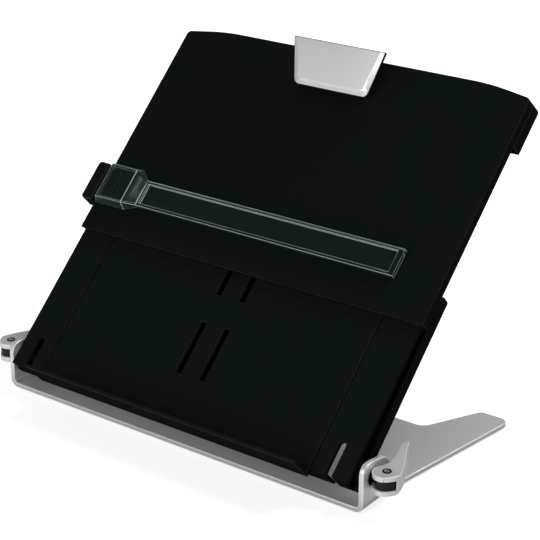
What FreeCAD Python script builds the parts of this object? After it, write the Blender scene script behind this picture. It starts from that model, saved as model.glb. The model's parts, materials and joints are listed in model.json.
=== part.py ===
"""Copy holder with a line guide: a clamped easel on a bent base plate.

Units are millimetres.  Easel pieces are drawn flat in board coordinates (x across,
v up the board, w out of its face) and then leaned back as one.  Each function makes one piece.
"""
import math
import os

import FreeCAD, Part

V = FreeCAD.Vector
X, Y, Z = V(1, 0, 0), V(0, 1, 0), V(0, 0, 1)

# ---- driving dimensions -------------------------------------------------------
LEAN = 42.9                 # board lean above the table, degrees
HALF = 165.0                # half the board's width
BOARD_LOW, BOARD_TOP = 126.2, 329.2
BOARD_SHOULDER = 323.4      # where the top edge meets the side
SKIN, WALL = 2.6, 2.0       # board face and wall thickness
WALL_BACK = -8.9            # rear edge of the board's side walls
HOOD_LOW, HOOD_BACK = 285.5, -21.5
HOOD_RISE = 2.4             # how far the top leans back over the hood's depth
STRIP_EDGE, SEAM = 162.65, 130.0
STRIP_FACE, STRIP_BACK = -3.65, -7.4
STRIP_TOP, PANEL_TOP = 190.0, 160.0
TRAY_TOP, TRAY_BACK_TOP, TRAY_BACK_LOW = 155.6, -20.2, -22.5
RIM_TOP, RIM_LOW = -9.9, -16.0
LEDGE_LOW, LEDGE_HIGH, LEDGE_TIP = -4.8, -2.4, 19.0
NOTCH_X, NOTCH_W, NOTCH_TOP = 146.2, 5.4, 27.5
SLOT_X, SLOT_W = 11.3, 5.2

SHEET = 4.0                 # base plate and ears
FOOT = 1.5
DECK = 24.65                # plate top below the board origin
EAR_OUT = 171.7
EAR_IN = EAR_OUT - SHEET
EAR_FRONT, EAR_BACK, EAR_TOP = 9.3, 51.5, 9.0
PIVOT_Y, PIVOT_Z = 22.6, -3.4
STUD_R, RUN = 4.8, 0.05     # pivot stud radius and running clearance
BUSH_R, BOSS_R, BOSS_IN = 6.6, 8.4, 151.7
PIN_X, CAM_R, BARREL_R = 182.7, 10.6, 8.6
WASHER_OUT = 172.0
LEVER_TOP, LEVER_LOW = 4.25, -11.2
FORK_HIGH, FORK_LOW = 0.35, -7.1
LEVER_PIN_R, PIN_HEAD = 2.15, 3.4

CLIP_V, CLIP_W, CLIP_PIN_R = 314.0, 6.5, 2.0
PALM = math.radians(27.7)   # tilt of the clip's back plane off the board
PALM_SKIN = 2.4

BLOCK_OUT, BLOCK_IN = -176.6, -165.35
BLOCK_LOW, BLOCK_HIGH = 149.4, 184.6
GROOVE_TOP = 293.0

COS, SIN = math.cos(math.radians(LEAN)), math.sin(math.radians(LEAN))
PIVOT_V = PIVOT_Y * COS + PIVOT_Z * SIN
PIVOT_W = PIVOT_Z * COS - PIVOT_Y * SIN
FRONT = LEDGE_LOW * COS - LEDGE_TIP * SIN
REAR = (BOARD_TOP + HOOD_RISE) * COS - HOOD_BACK * SIN
ORIGIN = V(0, -(FRONT + REAR) / 2, FOOT + SHEET + DECK)


# ---- helpers ------------------------------------------------------------------
def box(x0, x1, y0, y1, z0, z1):
    return Part.makeBox(x1 - x0, y1 - y0, z1 - z0, V(x0, y0, z0))


def rod(radius, x0, x1, a, b):
    """A cylinder along x from x0 to x1, through (a, b)."""
    return Part.makeCylinder(radius, x1 - x0, V(x0, a, b), X)


def post(radius, x, v, w0, w1):
    return Part.makeCylinder(radius, w1 - w0, V(x, v, w0), Z)


def outline(points, lift):
    """A closed wire through (a, b, radius) corners, each one rounded."""
    n, ends, edges = len(points), [], []
    for i in range(n):
        a, b, r = points[i]
        before, after = points[i - 1], points[(i + 1) % n]
        u = V(before[0] - a, before[1] - b, 0).normalize()
        t = V(after[0] - a, after[1] - b, 0).normalize()
        half = math.acos(max(-1.0, min(1.0, u.dot(t)))) / 2
        p, back = V(a, b, 0), r / math.tan(half) if r else 0.0
        bis = (u + t).normalize() if r else V(0, 0, 0)
        mid = p + bis * (r / math.sin(half) - r) if r else p
        ends.append((p + u * back, mid, p + t * back, r))
    at = lambda q: lift(q.x, q.y)
    for i in range(n):
        start, mid, stop, r = ends[i]
        if r:
            edges.append(Part.Arc(at(start), at(mid), at(stop)).toShape())
        edges.append(Part.makeLine(at(stop), at(ends[(i + 1) % n][0])))
    return Part.Wire(edges)


def prism(points, lift, along):
    return Part.Face(outline(points, lift)).extrude(along)


def side_prism(points, x0, x1):
    """Points are (y, z) or (v, w), pushed along x."""
    pts = [p if len(p) == 3 else (p[0], p[1], 0) for p in points]
    return prism(pts, lambda a, b: V(x0, a, b), V(x1 - x0, 0, 0))


def flat_prism(points, z0, z1):
    return prism(points, lambda a, b: V(a, b, z0), V(0, 0, z1 - z0))


def other_side(shape):
    return shape.mirror(V(0, 0, 0), X)


def key(x0, x1, a, b):
    """The two-flat neck that stops a stud turning in its ear."""
    return rod(STUD_R, x0, x1, a, b).common(box(x0, x1, a - 9, a + 9, b - 3.8, b + 3.8))


# ---- base ---------------------------------------------------------------------
def base_bracket():
    low, high = -DECK - SHEET, -DECK
    plate = flat_prism([(-EAR_OUT, EAR_FRONT, 0), (EAR_OUT, EAR_FRONT, 0), (EAR_OUT, 66, 60), (188.85, 190.3, 7),
                        (162.85, 190.3, 7), (138.9, 142, 10), (-138.9, 142, 10),
                        (-162.85, 190.3, 7), (-188.85, 190.3, 7), (-EAR_OUT, 66, 60)], low, high)
    ear = side_prism([(EAR_FRONT, low, 0), (EAR_FRONT, EAR_TOP, 8), (22, EAR_TOP, 20), (38, 6.0, 12),
                      (EAR_BACK, -7.2, 6), (EAR_BACK, low, 0)], EAR_IN, EAR_OUT)
    inner, outer = 3.0, 3.0 + SHEET
    cx, cz = EAR_IN - inner, high + inner
    run = EAR_BACK - EAR_FRONT
    bend = Part.makeCylinder(inner, run, V(cx, EAR_FRONT, cz), Y)
    ear = ear.fuse(box(cx, EAR_IN, EAR_FRONT, EAR_BACK, high, cz).cut(bend))
    bend = Part.makeCylinder(outer, run, V(cx, EAR_FRONT, cz), Y)
    corner = box(cx, EAR_OUT + 1, EAR_FRONT, EAR_BACK, low - 1, cz).cut(bend)
    hole = key(EAR_IN - 1, EAR_OUT + 1, PIVOT_Y, PIVOT_Z)
    body = plate.fuse([ear, other_side(ear)])
    return body.cut([corner, other_side(corner), hole, other_side(hole)]).removeSplitter()


def foot_pad(x, y):
    return Part.makeCylinder(7, FOOT, V(x, y, -DECK - SHEET - FOOT), Z)


def clamp_stud():
    a, b = PIVOT_Y, PIVOT_Z
    head = rod(6.3, 149.3, BOSS_IN - 0.1, a, b)
    pivot = rod(STUD_R, BOSS_IN - 0.1, EAR_IN, a, b)
    shank = rod(2.5, EAR_OUT, PIN_X - 2.8, a, b)
    return head.fuse([pivot, key(EAR_IN, EAR_OUT, a, b), shank])


def clamp_barrel():
    body = post(BARREL_R, PIN_X, PIVOT_Y, FORK_LOW + RUN, FORK_HIGH - RUN)
    hole = post(LEVER_PIN_R + RUN, PIN_X, PIVOT_Y, -20, 10)
    return body.cut([hole, rod(2.5, 170, PIN_X - 2.8, PIVOT_Y, PIVOT_Z)])


def clamp_washer():
    ring = rod(7.2, EAR_OUT, WASHER_OUT, PIVOT_Y, PIVOT_Z)
    return ring.cut(rod(2.5, 170, 175, PIVOT_Y, PIVOT_Z))


def friction_washer():
    ring = rod(8.2, HALF + 0.1, EAR_IN, PIVOT_Y, PIVOT_Z)
    return ring.cut(rod(STUD_R, 160, 170, PIVOT_Y, PIVOT_Z))


# ---- cam levers ---------------------------------------------------------------
def lever_outline():
    """Plan of the right lever: a cam nose round the pin, then a leaf running back past the ear."""
    nose = math.radians(262)
    start = V(PIN_X - CAM_R, PIVOT_Y, 0)
    turn = lambda t: V(PIN_X + CAM_R * math.cos(t), PIVOT_Y + CAM_R * math.sin(t), 0)
    shoulder, tip_in, tip_out = V(193.2, 23.4, 0), V(167.8, 69.0, 0), V(170.0, 72.2, 0)
    front = Part.BSplineCurve()
    front.interpolate([turn(nose), V(185.2, 12.9, 0), V(188.6, 15.6, 0), V(191.3, 19.1, 0), shoulder])
    inner = Part.BSplineCurve()
    inner.interpolate([tip_in, V(170.2, 60, 0), V(173.6, 51, 0), V(176.2, 43, 0), V(177.0, 34.5, 0),
                       V(175.0, 27.5, 0), start])
    outer = Part.BSplineCurve()
    outer.interpolate([shoulder, V(192.0, 28, 0), V(189.3, 34.4, 0), V(184.2, 44.4, 0),
                       V(178.0, 56, 0), tip_out])
    edges = [inner.toShape(),
             Part.Arc(start, turn(math.radians(221)), turn(nose)).toShape(),
             front.toShape(),
             outer.toShape(),
             Part.Arc(tip_out, V(168.6, 72.0, 0), tip_in).toShape()]
    wire = Part.Wire(edges)
    wire.translate(V(0, 0, LEVER_LOW))
    return wire


def cam_lever():
    body = Part.Face(lever_outline()).extrude(V(0, 0, LEVER_TOP - LEVER_LOW))
    crown = 120.0           # radius of the leaf's top as it falls away to the tip
    limit = Part.makeCylinder(crown, 60, V(150, 48, LEVER_TOP - crown), X)
    limit = limit.fuse(box(150, 210, 0, 48, -20, LEVER_TOP + 1))
    under = side_prism([(36, LEVER_LOW - 1), (36, LEVER_LOW), (80, -5.0), (80, LEVER_LOW - 1)], 150, 210)
    fan = [(PIN_X + 18 * math.cos(math.radians(t)), PIVOT_Y + 18 * math.sin(math.radians(t)), 0)
           for t in (150, 205, 250, 300, 350)]
    slot = flat_prism([(PIN_X, PIVOT_Y, 0)] + fan, FORK_LOW, FORK_HIGH)
    slot = slot.fuse(post(BARREL_R + 0.4, PIN_X, PIVOT_Y, FORK_LOW, FORK_HIGH))
    bore = post(LEVER_PIN_R, PIN_X, PIVOT_Y, -20, 10)
    sink = post(PIN_HEAD, PIN_X, PIVOT_Y, LEVER_TOP - 1.2, 10)
    return body.common(limit).cut([under, slot, bore, sink, heel()]).removeSplitter()


def heel():
    """Takes the sharp corner off under the lever's shoulder."""
    out, along = V(0.957, 0.29, 0), V(-0.29, 0.957, 0)
    corner = [(-6, LEVER_LOW - 1, 0), (3, LEVER_LOW - 1, 0), (3, LEVER_LOW + 6, 0), (0, LEVER_LOW + 6, 0),
              (0, LEVER_LOW, 3.4), (-6, LEVER_LOW, 0)]
    lift = lambda a, b: V(193.1, 25, 0) + out * a + Z * b - along * 14
    return prism(corner, lift, along * 26)


def lever_pin():
    """A rivet whose head is dished."""
    shank = post(LEVER_PIN_R, PIN_X, PIVOT_Y, LEVER_LOW, LEVER_TOP - 1.2)
    head = post(PIN_HEAD, PIN_X, PIVOT_Y, LEVER_TOP - 1.2, LEVER_TOP + 0.6)
    return shank.fuse(head).cut(post(2.3, PIN_X, PIVOT_Y, LEVER_TOP + 0.1, 10))


# ---- easel, in board coordinates ----------------------------------------------
def notch():
    slot = box(NOTCH_X - NOTCH_W / 2, NOTCH_X + NOTCH_W / 2, -9, NOTCH_TOP - NOTCH_W / 2, -40, 5)
    return slot.fuse(post(NOTCH_W / 2, NOTCH_X, NOTCH_TOP - NOTCH_W / 2, -40, 5))


def fixings():
    """Where the small screws sit: two for the panel, two for each strip."""
    return [(-70, 78), (70, 78), (-141, 60), (-141, 135), (141, 60), (141, 135)]


def rear_tray():
    back = side_prism([(0, TRAY_BACK_LOW, 1.5), (TRAY_TOP, TRAY_BACK_TOP, 1.5),
                       (TRAY_TOP, TRAY_BACK_TOP + 2), (0, TRAY_BACK_LOW + 2)], -HALF, HALF)
    rim = side_prism([(0, TRAY_BACK_LOW, 1.5), (TRAY_TOP, TRAY_BACK_TOP, 1.5),
                      (TRAY_TOP, RIM_TOP, 1.5), (0, RIM_LOW, 1.0)], HALF - WALL, HALF)
    floor = side_prism([(0, TRAY_BACK_LOW, 1.5), (2, TRAY_BACK_LOW), (2, STRIP_BACK),
                        (0, STRIP_BACK)], -160.4, 160.4)
    lid = side_prism([(TRAY_TOP - 2, TRAY_BACK_TOP + 1), (TRAY_TOP, TRAY_BACK_TOP + 1),
                      (TRAY_TOP, STRIP_BACK), (TRAY_TOP - 2, STRIP_BACK)], -160.4, 160.4)
    ribs = [box(s - 2.5, s + 2.5, 1, TRAY_TOP - 1, -19.5, STRIP_BACK) for s in (-SEAM, SEAM)]
    ribs += [box(s - 1, s + 1, 1, TRAY_TOP - 1, -19.5, STRIP_BACK) for s in (-156.5, 156.5)]
    bosses = [post(4.5, x, v, -20.5, STRIP_BACK) for x, v in fixings()]
    hub = rod(BOSS_R, BOSS_IN, HALF, PIVOT_V, PIVOT_W)
    cuts = [rod(BUSH_R, 150, 170, PIVOT_V, PIVOT_W), rod(7.0, 148.9, BOSS_IN, PIVOT_V, PIVOT_W),
            notch(), box(SEAM + 2.5, NOTCH_X, 2, 34, -30, -19)]
    cuts += [other_side(c) for c in cuts]
    for x, v in fixings():
        cuts += [post(3.0, x, v, -30, -11), post(1.5, x, v, -12, 0)]
    body = back.fuse([rim, other_side(rim), floor, lid, hub, other_side(hub)] + ribs + bosses)
    return body.cut(cuts).removeSplitter()


def screw(x, v):
    return post(2.8, x, v, -13, -11).fuse(post(1.5, x, v, -11, -5))


def front_strip():
    strip = box(SEAM + 0.4, STRIP_EDGE, 0, STRIP_TOP, STRIP_BACK, STRIP_FACE)
    holes = [post(1.5, x, v, -12, -5) for x, v in fixings() if x > SEAM]
    return strip.cut(holes + [notch()])


def centre_panel():
    panel = box(0.4 - SEAM, SEAM - 0.4, LEDGE_LOW, PANEL_TOP, STRIP_BACK, STRIP_FACE)
    ledge = box(0.4 - SEAM, SEAM - 0.4, LEDGE_LOW, LEDGE_HIGH, STRIP_BACK, LEDGE_TIP)
    cuts = [post(1.5, x, v, -12, -5) for x, v in fixings() if abs(x) < SEAM]
    for x in (-SLOT_X, SLOT_X):
        for v0, v1 in ((35.8, 80.7), (104.8, 150.0)):
            cuts.append(box(x - SLOT_W / 2, x + SLOT_W / 2, v0, v1, -10, 0))
    return panel.fuse(ledge).cut(cuts).removeSplitter()


def pivot_bush():
    ring = rod(BUSH_R, BOSS_IN, HALF, PIVOT_V, PIVOT_W)
    return ring.cut(rod(STUD_R + RUN, 150, 170, PIVOT_V, PIVOT_W))


# ---- sliding board, in board coordinates --------------------------------------
def board_outline(inset, w, low):
    """The board's outline at depth w, the top leaning back as it goes deeper."""
    rise = HOOD_RISE * w / HOOD_BACK
    e, top, shoulder = HALF - inset, BOARD_TOP - inset + rise, BOARD_SHOULDER - inset + rise
    r = 4.0 - inset
    return [(-e, low, 0), (e, low, 0), (e, shoulder, r), (128, top, 200), (-128, top, 200),
            (-e, shoulder, r)]


def board_slab(inset, w0, w1, low):
    lean = V(0, HOOD_RISE * (w1 - w0) / HOOD_BACK, w1 - w0)
    return prism(board_outline(inset, w0, low), lambda a, b: V(a, b, w0), lean)


def dovetail(gap, v0, v1):
    """The guide's tongue, or with a gap the groove it runs in."""
    mouth, root, deep = 1.5 + gap, 2.1 + gap, HALF - 1.12 - gap
    pts = [(-167.0, -4.5 - mouth, 0), (-167.0, -4.5 + mouth, 0), (-HALF, -4.5 + mouth, 0),
           (-deep, -4.5 + root, 0), (-deep, -4.5 - root, 0), (-HALF, -4.5 - mouth, 0)]
    return prism(pts, lambda a, b: V(a, v0, b), V(0, v1 - v0, 0))


def hood_posts():
    return [(-120, 305), (120, 305)]


def board_shell():
    shell = board_slab(0, 0, WALL_BACK, BOARD_LOW)
    trimmed = box(-200, 200, 0, BOARD_LOW, -30, 5)
    hollow = board_slab(WALL, -SKIN, WALL_BACK - 1, BOARD_LOW - 20)
    lips = [box(x, x + 2, BOARD_LOW, 283, WALL_BACK, WALL_BACK + 1.4) for x in (-163, 161)]
    lips += [box(x, x + 5, BOARD_LOW, 283, -3.6, -SKIN) for x in (-160.5, 155.5)]
    posts = [post(4.0, x, v, HOOD_BACK + 2, -SKIN) for x, v in hood_posts()]
    body = shell.cut([hollow, trimmed]).fuse(lips + posts)
    cuts = [post(1.5, x, v, -30, -8) for x, v in hood_posts()]
    cuts += [post(1.5, x, v, -9, 3) for x, v in clip_fixings()]
    return body.cut(cuts + [dovetail(0.08, BOARD_LOW - 5, GROOVE_TOP)]).removeSplitter()


def hood():
    shell = board_slab(0, WALL_BACK, HOOD_BACK, HOOD_LOW - 3)
    hollow = board_slab(WALL, WALL_BACK + 1, HOOD_BACK + WALL, HOOD_LOW - 20)
    body = shell.cut([hollow, box(-200, 200, 200, HOOD_LOW, -30, 5)])
    for x, v in hood_posts():
        body = body.cut([post(1.5, x, v, -30, -15), post(3.0, x, v, -30, HOOD_BACK + 1.2)])
    return body


def hood_screw(x, v):
    shank = post(1.5, x, v, HOOD_BACK + 1.2, -9)
    return shank.fuse(post(3.0, x, v, HOOD_BACK, HOOD_BACK + 1.2))


# ---- clip, in board coordinates -----------------------------------------------
def clip_fixings():
    return [(-8, 322), (8, 322)]


def palm_point(a, s, start, tilt):
    return V(a, start[0] + s * math.cos(tilt), start[1] + s * math.sin(tilt))


def clip_face():
    face_tilt = math.radians(25.8)
    outer = outline([(-34.6, 0, 5), (34.6, 0, 5), (43.9, 37.2, 0.6), (-43.1, 37.2, 0.6)],
                    lambda a, s: palm_point(a, s, (292.7, 5.4), PALM))
    inner = outline([(-30.5, 0, 3.5), (30.7, 0, 3.5), (40.2, 32.4, 0.6), (-39.1, 32.4, 0.6)],
                    lambda a, s: palm_point(a, s, (295.9, 9.5), face_tilt))
    return Part.makeLoft([outer, inner], True, True)


def clip_lever():
    inward = V(0, math.sin(PALM), -math.cos(PALM)) * PALM_SKIN
    plate = prism([(-35.1, -0.5, 5), (35.1, -0.5, 5), (44.4, 37.4, 1.0), (-43.6, 37.4, 1.0)],
                  lambda a, s: palm_point(a, s, (292.7, 5.4), PALM), inward)
    f, n = V(0, math.cos(PALM), math.sin(PALM)), V(0, -math.sin(PALM), math.cos(PALM))
    hub = V(0, CLIP_V, CLIP_W)
    lug = [hub - f * 4.2, hub + f * 4.2, hub + f * 4.2 + n * 7.6, hub - f * 4.2 + n * 7.6]
    lug = side_prism([(p.y, p.z) for p in lug], 17.2, 20.2)
    lug = lug.fuse(rod(4.2, 17.2, 20.2, CLIP_V, CLIP_W))
    jaw = side_prism([(295.0, 1.6), (300.6, 1.6), (300.6, palm_back(300.6) + 0.5),
                      (295.0, palm_back(295.0) + 0.5)], -31, 31)
    bore = rod(CLIP_PIN_R + RUN, -30, 30, CLIP_V, CLIP_W)
    return plate.fuse([lug, other_side(lug), jaw]).cut(bore).removeSplitter()


def palm_back(v):
    """Height of the lever's rear plane over the board at v."""
    low = V(0, 292.7, 5.4) + V(0, math.sin(PALM), -math.cos(PALM)) * PALM_SKIN
    return low.z + (v - low.y) * math.tan(PALM)


def jaw_pad():
    return box(-30, 30, 295.4, 300.2, 0.1, 1.6)


def clip_bracket():
    base = box(-22, 22, 304, 327, 0, 2)
    ears = [box(x, x + 3, CLIP_V - 4, CLIP_V + 4, 1, CLIP_W).fuse(rod(4, x, x + 3, CLIP_V, CLIP_W))
            for x in (-16.8, 13.8)]
    cuts = [rod(CLIP_PIN_R, -30, 30, CLIP_V, CLIP_W)]
    cuts += [post(1.5, x, v, -1, 3) for x, v in clip_fixings()]
    relief = [rod(4.6, x, x + 4, CLIP_V, CLIP_W) for x in (-20.7, 16.7)]
    return base.cut(relief).fuse(ears).cut(cuts).removeSplitter()


def clip_screw(x, v):
    return post(3.0, x, v, -SKIN - 1.6, -SKIN).fuse(post(1.5, x, v, -SKIN, 2.0))


def clip_pin():
    return rod(CLIP_PIN_R, -20.6, 20.6, CLIP_V, CLIP_W)


def clip_spring():
    """A torsion coil of flat wire on the clip's pin."""
    turns = Part.makeHelix(3.2, 19.2, 2.9)
    wire = Part.makePolygon([V(2.5, 0, -0.5), V(3.3, 0, -0.5), V(3.3, 0, 0.5), V(2.5, 0, 0.5),
                             V(2.5, 0, -0.5)])
    coil = Part.Wire(turns.Edges).makePipeShell([wire], True, True)
    coil.rotate(V(0, 0, 0), Y, 90)
    coil.translate(V(-9.6, CLIP_V, CLIP_W))
    return coil


# ---- line guide, in board coordinates -----------------------------------------
def guide_block():
    body = flat_prism([(BLOCK_OUT, BLOCK_LOW, 3), (BLOCK_IN, BLOCK_LOW, 0), (BLOCK_IN, BLOCK_HIGH, 0),
                       (BLOCK_OUT, BLOCK_HIGH, 3)], -8.5, 5.5)
    shelf = box(BLOCK_IN - 1, -150, 156, 182, 0.5, 2.4)
    return body.fuse([shelf, dovetail(0, BLOCK_LOW, BLOCK_HIGH)]).removeSplitter()


def frame_at(x_low, x_high, low, high):
    """A four-cornered section: low and high are (v0, v1, w); x may differ between them."""
    a, b, w0 = low
    c, d, w1 = high
    return Part.makePolygon([V(x_low, a, w0), V(x_low, b, w0), V(x_high, d, w1), V(x_high, c, w1),
                             V(x_low, a, w0)])


def guide_arm():
    """A hollow pod over the slider, necking down to a flat bar with raised edges."""
    pod = Part.makeLoft([frame_at(-163.3, -160.6, (150.0, 187.8, 0.5), (152.4, 184.0, 8.0)),
                         frame_at(-132.6, -133.6, (150.0, 187.8, 0.5), (152.9, 183.8, 8.0))], True, True)
    neck = Part.makeLoft([frame_at(-132.6, -133.6, (150.0, 187.8, 0.5), (152.9, 183.8, 8.0)),
                          frame_at(-121.0, -121.0, (155.0, 178.3, 0.8), (155.0, 178.3, 4.8))], True, True)
    room = Part.makeLoft([frame_at(-161.3, -159.0, (151.9, 185.9, 0.3), (154.0, 182.3, 6.4)),
                          frame_at(-133.6, -134.4, (151.9, 185.9, 0.3), (154.5, 182.1, 6.4))], True, True)
    throat = Part.makeLoft([frame_at(-133.6, -134.4, (151.9, 185.9, 0.3), (154.5, 182.1, 6.4)),
                            frame_at(-122.4, -122.4, (157.0, 176.3, 0.3), (157.0, 176.3, 3.0))], True, True)
    bar = box(-121.0, 127.0, 155.0, 178.3, 0.8, 4.8)
    bed = box(-118.5, 122.2, 157.5, 175.8, 2.6, 5.0)
    shelf = box(-170, -150, 156, 182, 0.0, 2.4)
    return pod.fuse([neck, bar]).cut([room, throat, bed, shelf]).removeSplitter()


# ---- build --------------------------------------------------------------------
def pieces():
    """Every node: its shape and whether it leans with the easel."""
    flat, leaned = {}, {}
    flat["base_bracket"] = base_bracket()
    for name, x, y in (("front_left", -150, 21), ("front_right", 150, 21),
                       ("rear_left", -172, 177), ("rear_right", 172, 177)):
        flat["foot_pad_" + name] = foot_pad(x, y)
    for name, make in (("clamp_stud", clamp_stud), ("clamp_barrel", clamp_barrel),
                       ("clamp_washer", clamp_washer), ("friction_washer", friction_washer),
                       ("cam_lever", cam_lever), ("lever_pin", lever_pin)):
        flat["right_" + name] = make()
        flat["left_" + name] = other_side(flat["right_" + name])
    leaned["rear_tray"] = rear_tray()
    leaned["right_front_strip"] = front_strip()
    leaned["left_front_strip"] = other_side(leaned["right_front_strip"])
    leaned["centre_panel"] = centre_panel()
    leaned["right_pivot_bush"] = pivot_bush()
    leaned["left_pivot_bush"] = other_side(leaned["right_pivot_bush"])
    for i, (x, v) in enumerate(fixings()):
        leaned["tray_screw_%d" % (i + 1)] = screw(x, v)
    leaned["board_shell"] = board_shell()
    leaned["hood"] = hood()
    for i, (x, v) in enumerate(hood_posts()):
        leaned["hood_screw_%d" % (i + 1)] = hood_screw(x, v)
    leaned["clip_bracket"] = clip_bracket()
    for i, (x, v) in enumerate(clip_fixings()):
        leaned["clip_screw_%d" % (i + 1)] = clip_screw(x, v)
    leaned["clip_pin"] = clip_pin()
    leaned["clip_spring"] = clip_spring()
    leaned["clip_face"] = clip_face()
    leaned["clip_lever"] = clip_lever()
    leaned["jaw_pad"] = jaw_pad()
    leaned["guide_block"] = guide_block()
    leaned["guide_arm"] = guide_arm()
    for shape in leaned.values():
        shape.rotate(V(0, 0, 0), X, LEAN)
    flat.update(leaned)
    for shape in flat.values():
        shape.translate(ORIGIN)
    return flat


def main():
    os.makedirs("parts", exist_ok=True)
    for name, shape in pieces().items():
        shape.exportStep("parts/" + name + ".step")
        print("%-22s %9.1f mm3 %s solids %d" % (name, shape.Volume, shape.isValid(), len(shape.Solids)))


if __name__ == "__main__":
    main()
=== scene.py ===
"""Dresses the copy holder: its finishes, rounded corners, lamps, table and camera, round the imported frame."""
import itertools
import json
import math
import bpy
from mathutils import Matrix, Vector

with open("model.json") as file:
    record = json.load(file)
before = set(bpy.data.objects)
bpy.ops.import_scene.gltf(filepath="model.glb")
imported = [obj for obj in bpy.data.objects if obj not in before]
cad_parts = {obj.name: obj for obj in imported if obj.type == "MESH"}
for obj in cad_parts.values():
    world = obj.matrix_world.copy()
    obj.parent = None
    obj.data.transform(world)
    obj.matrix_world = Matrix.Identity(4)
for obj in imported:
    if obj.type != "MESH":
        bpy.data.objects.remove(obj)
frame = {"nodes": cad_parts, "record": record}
nodes = frame["nodes"]
scene = bpy.context.scene
MM = 0.001

# The board as it stands at rest: its lower front edge line, the way up its slope and the way out of its face.
LEAN = math.radians(42.9)
BOARD_FOOT = Vector((0, -0.12055, 0.03015))
UP = Vector((0, math.cos(LEAN), math.sin(LEAN)))
OUT = Vector((0, -math.sin(LEAN), math.cos(LEAN)))


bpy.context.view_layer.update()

# ---- materials ----------------------------------------------------------------
GRAIN_HEIGHT = 0.2 * MM
ACRYLIC_IOR = 1.49


def shade(name, colour, rough, metal=0.0, spec=0.5):
    """A plain material, with its node tree and its shader for further settings."""
    m = bpy.data.materials.new(name)
    m.use_nodes = True
    shader = m.node_tree.nodes["Principled BSDF"]
    shader.inputs["Base Color"].default_value = (*colour, 1)
    shader.inputs["Roughness"].default_value = rough
    shader.inputs["Metallic"].default_value = metal
    shader.inputs["Specular IOR Level"].default_value = spec
    return m, m.node_tree, shader


def grain_group():
    """Fine texture of moulded plastic, powder coat and brushed metal, shared by several finishes."""
    group = bpy.data.node_groups.new("grain", "ShaderNodeTree")
    for key in ("Scale", "Depth"):
        group.interface.new_socket(key, in_out="INPUT", socket_type="NodeSocketFloat")
    group.interface.new_socket("Normal", in_out="OUTPUT", socket_type="NodeSocketVector")
    new, link = group.nodes.new, group.links.new
    asked, given = new("NodeGroupInput"), new("NodeGroupOutput")
    place, noise, bump = new("ShaderNodeTexCoord"), new("ShaderNodeTexNoise"), new("ShaderNodeBump")
    noise.inputs["Detail"].default_value = 3
    bump.inputs["Distance"].default_value = GRAIN_HEIGHT
    link(place.outputs["Object"], noise.inputs["Vector"])
    link(asked.outputs["Scale"], noise.inputs["Scale"])
    link(noise.outputs["Fac"], bump.inputs["Height"])
    link(asked.outputs["Depth"], bump.inputs["Strength"])
    link(bump.outputs["Normal"], given.inputs["Normal"])
    return group


grain = grain_group()


def grained(made, scale, depth):
    """Puts the grain on a material from shade()."""
    m, tree, shader = made
    n = tree.nodes.new("ShaderNodeGroup")
    n.node_tree = grain
    n.inputs["Scale"].default_value = scale
    n.inputs["Depth"].default_value = depth
    tree.links.new(n.outputs["Normal"], shader.inputs["Normal"])
    return m


def black_plastic():
    made = shade("black_plastic", (0.0075, 0.0107, 0.0110), 0.5, metal=0.5, spec=0.0)
    made[2].inputs["Specular Tint"].default_value = (0.3, 0.3, 0.3, 1)
    return grained(made, 2600, 0.10)


def satin_metal():
    return grained(shade("satin_metal", (0.62, 0.635, 0.645), 0.25, metal=0.42), 2200, 0.08)


def silver_face():
    return grained(shade("silver_face", (0.56, 0.56, 0.57), 0.27, metal=0.85), 2600, 0.06)


def acrylic(name, colour, rough, through, tint=(1, 1, 1)):
    """Clear plastic, which lets the share through of the light pass."""
    m, _, shader = shade(name, colour, rough)
    shader.inputs["Transmission Weight"].default_value = through
    shader.inputs["IOR"].default_value = ACRYLIC_IOR
    shader.inputs["Specular Tint"].default_value = (*tint, 1)
    return m


finish = {
    "black_plastic": black_plastic(),
    "satin_metal": satin_metal(),
    "silver_face": silver_face(),
    "clear_plastic": acrylic("clear_plastic", (0.93, 0.97, 1.0), 0.03, 1.0, tint=(0.7, 1.0, 1.08)),
    "rubber": shade("rubber", (0.02, 0.02, 0.02), 0.7)[0],
    "steel": shade("steel", (0.05, 0.05, 0.052), 0.3, metal=0.9)[0],
    "dark_steel": shade("dark_steel", (0.006, 0.0065, 0.007), 0.15, metal=0.05, spec=0.16)[0],
    "bush_plastic": shade("bush_plastic", (0.5, 0.49, 0.45), 0.45)[0],
}
# Lighter finishes for the rounded edges: painted highlights along every bevel; the black one is also a little
# shinier.
edge_highlight = {
    "black_plastic": shade("painted_highlight_black", (0.010, 0.012, 0.012), 0.5, spec=0.1)[0],
    "satin_metal": shade("painted_highlight_satin", (0.76, 0.77, 0.78), 0.3, metal=0.3)[0],
    "clear_plastic": acrylic("painted_highlight_clear", (0.50, 0.61, 0.66), 0.25, 0.0),      # painted highlight: opaque and light, standing in for the light the clear edges catch
}
painted_light_wall = acrylic("painted_light_wall", (0.022, 0.036, 0.040), 0.3, 0.4)             # painted light: a grey-teal standing in for the light seen in the thick clear walls
# Painted light: the pin's dish floor is a lighter steel than the rest of the head, so its groove stays dark as
# painted shade.
painted_light_pin_dish = shade("painted_light_pin_dish", (0.4, 0.4, 0.41), 0.3, metal=0.8)[0]
finish_of = {part["node"]: part["material_slot"] for part in frame["record"]["subparts"]}

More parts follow.
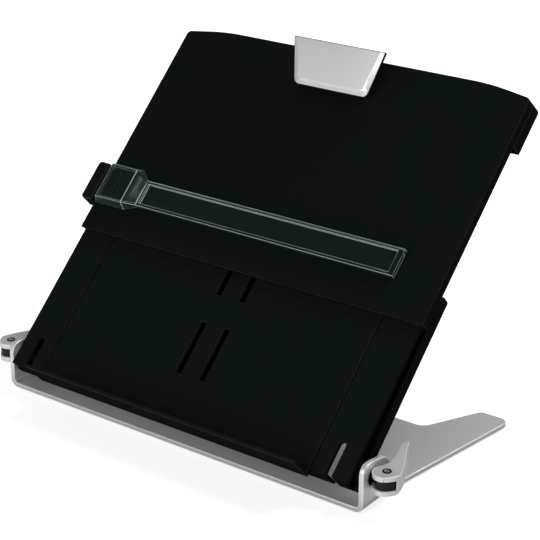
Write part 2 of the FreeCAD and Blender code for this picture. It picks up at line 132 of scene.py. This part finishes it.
# ---- rounded corners ----------------------------------------------------------
SMALL_CORNER = 0.25                              # mm, for every piece that isn't named here
CORNER = {"base_bracket": 0.8, "board_shell": 0.35, "hood": 0.5, "centre_panel": 0.45,
          "left_front_strip": 0.45, "right_front_strip": 0.45, "clip_lever": 0.5, "clip_face": 0.35,
          "guide_block": 1.2, "left_cam_lever": 0.45, "right_cam_lever": 0.45, "guide_arm": 0.22,
          "left_lever_pin": 0.4, "right_lever_pin": 0.4}
DARK_SEAMS = {"left_front_strip", "right_front_strip"}      # no painted edge highlight, so the seams beside them stay dark
STEEP, STEEP_ON_ARM = math.radians(32), math.radians(10)
NARROW = math.cos(math.radians(30))
FLAT = math.radians(0.5)
TOUCHING = 0.01 * MM
BODY, EDGE, WALL = 0, 1, 2                       # material slots


def mark_corners(mesh, steep):
    """Weights the edges to be rounded: the steep ones. Two that meet in a narrow point stay sharp."""
    def place(v):
        return tuple(round(c / TOUCHING) for c in mesh.vertices[v].co)

    sides, meeting, sharp = {}, {}, set()
    for p in mesh.polygons:
        for key in p.edge_keys:
            sides.setdefault(frozenset(map(place, key)), []).append(p.normal)
    for ends, normals in sides.items():
        if len(ends) == 2 and len(normals) == 2 and normals[0].angle(normals[1], 0) > steep:
            sharp.add(ends)
            a, b = sorted(ends)
            way = (Vector(b) - Vector(a)).normalized()
            meeting.setdefault(a, []).append((way, ends))
            meeting.setdefault(b, []).append((-way, ends))
    for star in meeting.values():
        for (way, ends), (other_way, other_ends) in itertools.combinations(star, 2):
            if way.dot(other_way) > NARROW:
                sharp -= {ends, other_ends}
    weight = mesh.attributes.new("bevel_weight_edge", "FLOAT", "EDGE")
    for e in mesh.edges:
        weight.data[e.index].value = float(frozenset(map(place, e.vertices)) in sharp)


def round_corners(name, obj):
    """Joins the faces' rims, merges flat triangles and bevels the marked edges."""
    weld = obj.modifiers.new("weld", "WELD")
    weld.merge_threshold = TOUCHING
    flat = obj.modifiers.new("flat", "DECIMATE")
    flat.decimate_type, flat.angle_limit, flat.delimit = "DISSOLVE", FLAT, {"MATERIAL"}
    bevel = obj.modifiers.new("bevel", "BEVEL")
    bevel.width = CORNER.get(name, SMALL_CORNER) * MM
    bevel.segments = 3
    bevel.use_clamp_overlap = name not in CORNER
    bevel.limit_method = "WEIGHT"
    mark_corners(obj.data, STEEP_ON_ARM if name == "guide_arm" else STEEP)
    even = obj.modifiers.new("even", "WEIGHTED_NORMAL")
    even.weight, even.thresh = 100, 0.01
    for p in obj.data.polygons:
        p.use_smooth = True
    return bevel


def paint_wall_light(obj):
    """Gives the arm's long walls, and the ceiling under its slope, a grey-teal: painted light standing in for the
    light seen in the thick clear walls.
    """
    for p in obj.data.polygons:
        wall = abs(p.normal.dot(UP)) > 0.6
        ceiling = p.normal.x < -0.2 and p.normal.dot(OUT) < -0.9
        if wall or ceiling:
            p.material_index = WALL


def paint_dish_light(obj):
    """Paints the floor of the round dish in a lever pin's head a lighter steel: painted light on the floor, so the
    groove round it stays dark as painted shade.
    """
    top = max(p.center.z for p in obj.data.polygons)
    for p in obj.data.polygons:
        if p.normal.z > 0.9 and 0.2 * MM < top - p.center.z < 1 * MM:
            p.material_index = EDGE


for name, obj in nodes.items():
    own = finish_of[name]
    obj.data.materials.clear()
    obj.data.materials.append(finish[own])
    bevel = round_corners(name, obj)
    # The bevels take the lighter edge finish: a painted highlight along the rounded edges.
    if own in edge_highlight and name not in DARK_SEAMS:
        obj.data.materials.append(edge_highlight[own])
        bevel.material = EDGE
    # The arm's walls and slope ceiling take a grey-teal as painted light.
    if name == "guide_arm":
        obj.data.materials.append(painted_light_wall)
        paint_wall_light(obj)
    # Painted light on the pin's dish floor, painted shade in its groove.
    if name.endswith("lever_pin"):
        obj.data.materials.append(painted_light_pin_dish)
        paint_dish_light(obj)


# ---- lamps, surroundings and table --------------------------------------------
def area(name, at, to, size, power):
    lamp = bpy.data.lights.new(name, "AREA")
    lamp.energy, lamp.size = power, size
    o = bpy.data.objects.new(name, lamp)
    o.location = at
    o.rotation_euler = (Vector(to) - Vector(at)).to_track_quat("-Z", "Y").to_euler()
    scene.collection.objects.link(o)


def ramp(tree, source, stops):
    """Brightness against a 0..1 input, from (place, brightness) stops."""
    node = tree.nodes.new("ShaderNodeValToRGB")
    elements = node.color_ramp.elements
    for e, (at, value) in zip(elements, (stops[0], stops[-1])):
        e.position, e.color = at, (value, value, value, 1)
    for at, value in stops[1:-1]:
        elements.new(at).color = (value, value, value, 1)
    tree.links.new(source, node.inputs["Fac"])
    return node.outputs["Color"]


def spread(tree, source, low, high, to_low=0.0, to_high=1.0, smooth=False):
    """Maps low..high of the source to to_low..to_high."""
    node = tree.nodes.new("ShaderNodeMapRange")
    node.interpolation_type = "SMOOTHSTEP" if smooth else "LINEAR"
    for key, value in (("From Min", low), ("From Max", high), ("To Min", to_low), ("To Max", to_high)):
        node.inputs[key].default_value = value
    tree.links.new(source, node.inputs["Value"])
    return node.outputs["Result"]


def camera_sees(tree, seen, otherwise, output):
    """Shows one shader to the camera and another to everything else."""
    path, mix = tree.nodes.new("ShaderNodeLightPath"), tree.nodes.new("ShaderNodeMixShader")
    tree.links.new(path.outputs["Is Camera Ray"], mix.inputs[0])
    tree.links.new(otherwise.outputs[0], mix.inputs[1])
    tree.links.new(seen.outputs[0], mix.inputs[2])
    tree.links.new(mix.outputs[0], output.inputs["Surface"])


def surroundings():
    """A studio that is bright low down in front, dimmer behind and dark overhead; the camera sees white."""
    world = bpy.data.worlds.new("studio")
    scene.world = world
    world.use_nodes = True
    tree = world.node_tree
    tree.nodes.clear()
    new, link = tree.nodes.new, tree.links.new
    way, split = new("ShaderNodeTexCoord"), new("ShaderNodeSeparateXYZ")
    link(way.outputs["Generated"], split.inputs[0])
    height = spread(tree, split.outputs["Z"], -1, 1)
    behind = spread(tree, split.outputs["Y"], -0.25, 0.35, smooth=True)
    front = ramp(tree, height, [(0.0, 0.8), (0.49, 0.80), (0.57, 0.75), (0.68, 0.30), (0.76, 0.09), (1.0, 0.12)])
    back = ramp(tree, height, [(0.0, 0.35), (0.50, 0.28), (0.69, 0.22), (0.84, 0.18), (1.0, 0.12)])
    both = new("ShaderNodeMix")
    link(behind, both.inputs["Factor"])
    link(front, both.inputs[2])
    link(back, both.inputs[3])
    seen, lit = new("ShaderNodeBackground"), new("ShaderNodeBackground")
    seen.inputs["Color"].default_value = (1, 1, 1, 1)
    lit.inputs["Color"].default_value = (0.945, 1.0, 1.045, 1)
    link(both.outputs[0], lit.inputs["Strength"])
    camera_sees(tree, seen, lit, new("ShaderNodeOutputWorld"))


def table():
    """A table top, light in front and darker behind as painted shade, with a painted glow in front. To the camera it
    is white, with a faint shadow by the part.
    """
    half = 3.0
    mesh = bpy.data.meshes.new("table")
    corners = [(-half, -half, 0), (half, -half, 0), (half, half, 0), (-half, half, 0)]
    mesh.from_pydata(corners, [], [(0, 1, 2, 3)])
    o = bpy.data.objects.new("table", mesh)
    o.location.z = -0.2 * MM
    scene.collection.objects.link(o)
    m, tree, shader = shade("table", (0.85, 0.87, 0.88), 0.9)
    place, split = tree.nodes.new("ShaderNodeTexCoord"), tree.nodes.new("ShaderNodeSeparateXYZ")
    tree.links.new(place.outputs["Object"], split.inputs[0])
    # Painted shade: the table's colour darkens behind; painted light: it glows a little in front.
    painted_shade_behind = spread(tree, split.outputs["Y"], -0.15, -0.04, 0.92, 0.45, smooth=True)
    painted_glow_front = spread(tree, split.outputs["Y"], -0.18, -0.10, 0.35, 0.0, smooth=True)
    tree.links.new(painted_shade_behind, shader.inputs["Base Color"])
    shader.inputs["Emission Color"].default_value = (1, 1, 1, 1)
    tree.links.new(painted_glow_front, shader.inputs["Emission Strength"])

    white, matt = tree.nodes.new("ShaderNodeEmission"), tree.nodes.new("ShaderNodeBsdfDiffuse")
    away, seen = tree.nodes.new("ShaderNodeVectorMath"), tree.nodes.new("ShaderNodeAddShader")
    away.operation = "LENGTH"
    matt.inputs["Color"].default_value = (0.5, 0.5, 0.5, 1)
    tree.links.new(place.outputs["Object"], away.inputs[0])
    whiteness = spread(tree, away.outputs["Value"], 0.15, 0.55, 0.78, 1.0, smooth=True)
    tree.links.new(whiteness, white.inputs["Strength"])
    tree.links.new(white.outputs[0], seen.inputs[0])
    tree.links.new(matt.outputs[0], seen.inputs[1])
    camera_sees(tree, seen, shader, tree.nodes["Material Output"])
    mesh.materials.append(m)


area("key", at=(0.45, 0.65, 1.3), to=(0, 0.05, 0.0), size=0.7, power=19)
area("front", at=(-0.2, -1.25, 0.6), to=(0, -0.25, 0), size=0.9, power=7)
area("glint", at=(-0.375, -0.258, 0.343), to=(-0.04, 0.227, 0.211), size=0.2, power=0.07)
surroundings()
table()

# ---- camera -------------------------------------------------------------------
LENS, SENSOR = 114.85, 36
FROM_BOARD_FOOT = Vector((0.7473, -0.8764, 0.6010))
LOOK_DOWN, TURN = 22.75, 36.56
camera = bpy.data.cameras.new("camera")
camera.lens, camera.sensor_width, camera.clip_start = LENS, SENSOR, 0.05
viewer = bpy.data.objects.new("camera", camera)
viewer.location = BOARD_FOOT + FROM_BOARD_FOOT
viewer.rotation_euler = (math.radians(90 - LOOK_DOWN), 0, math.radians(TURN))
scene.collection.objects.link(viewer)
scene.camera = viewer
scene.view_settings.view_transform = "Standard"
scene.cycles.max_bounces = 10
scene.cycles.transparent_max_bounces = 12
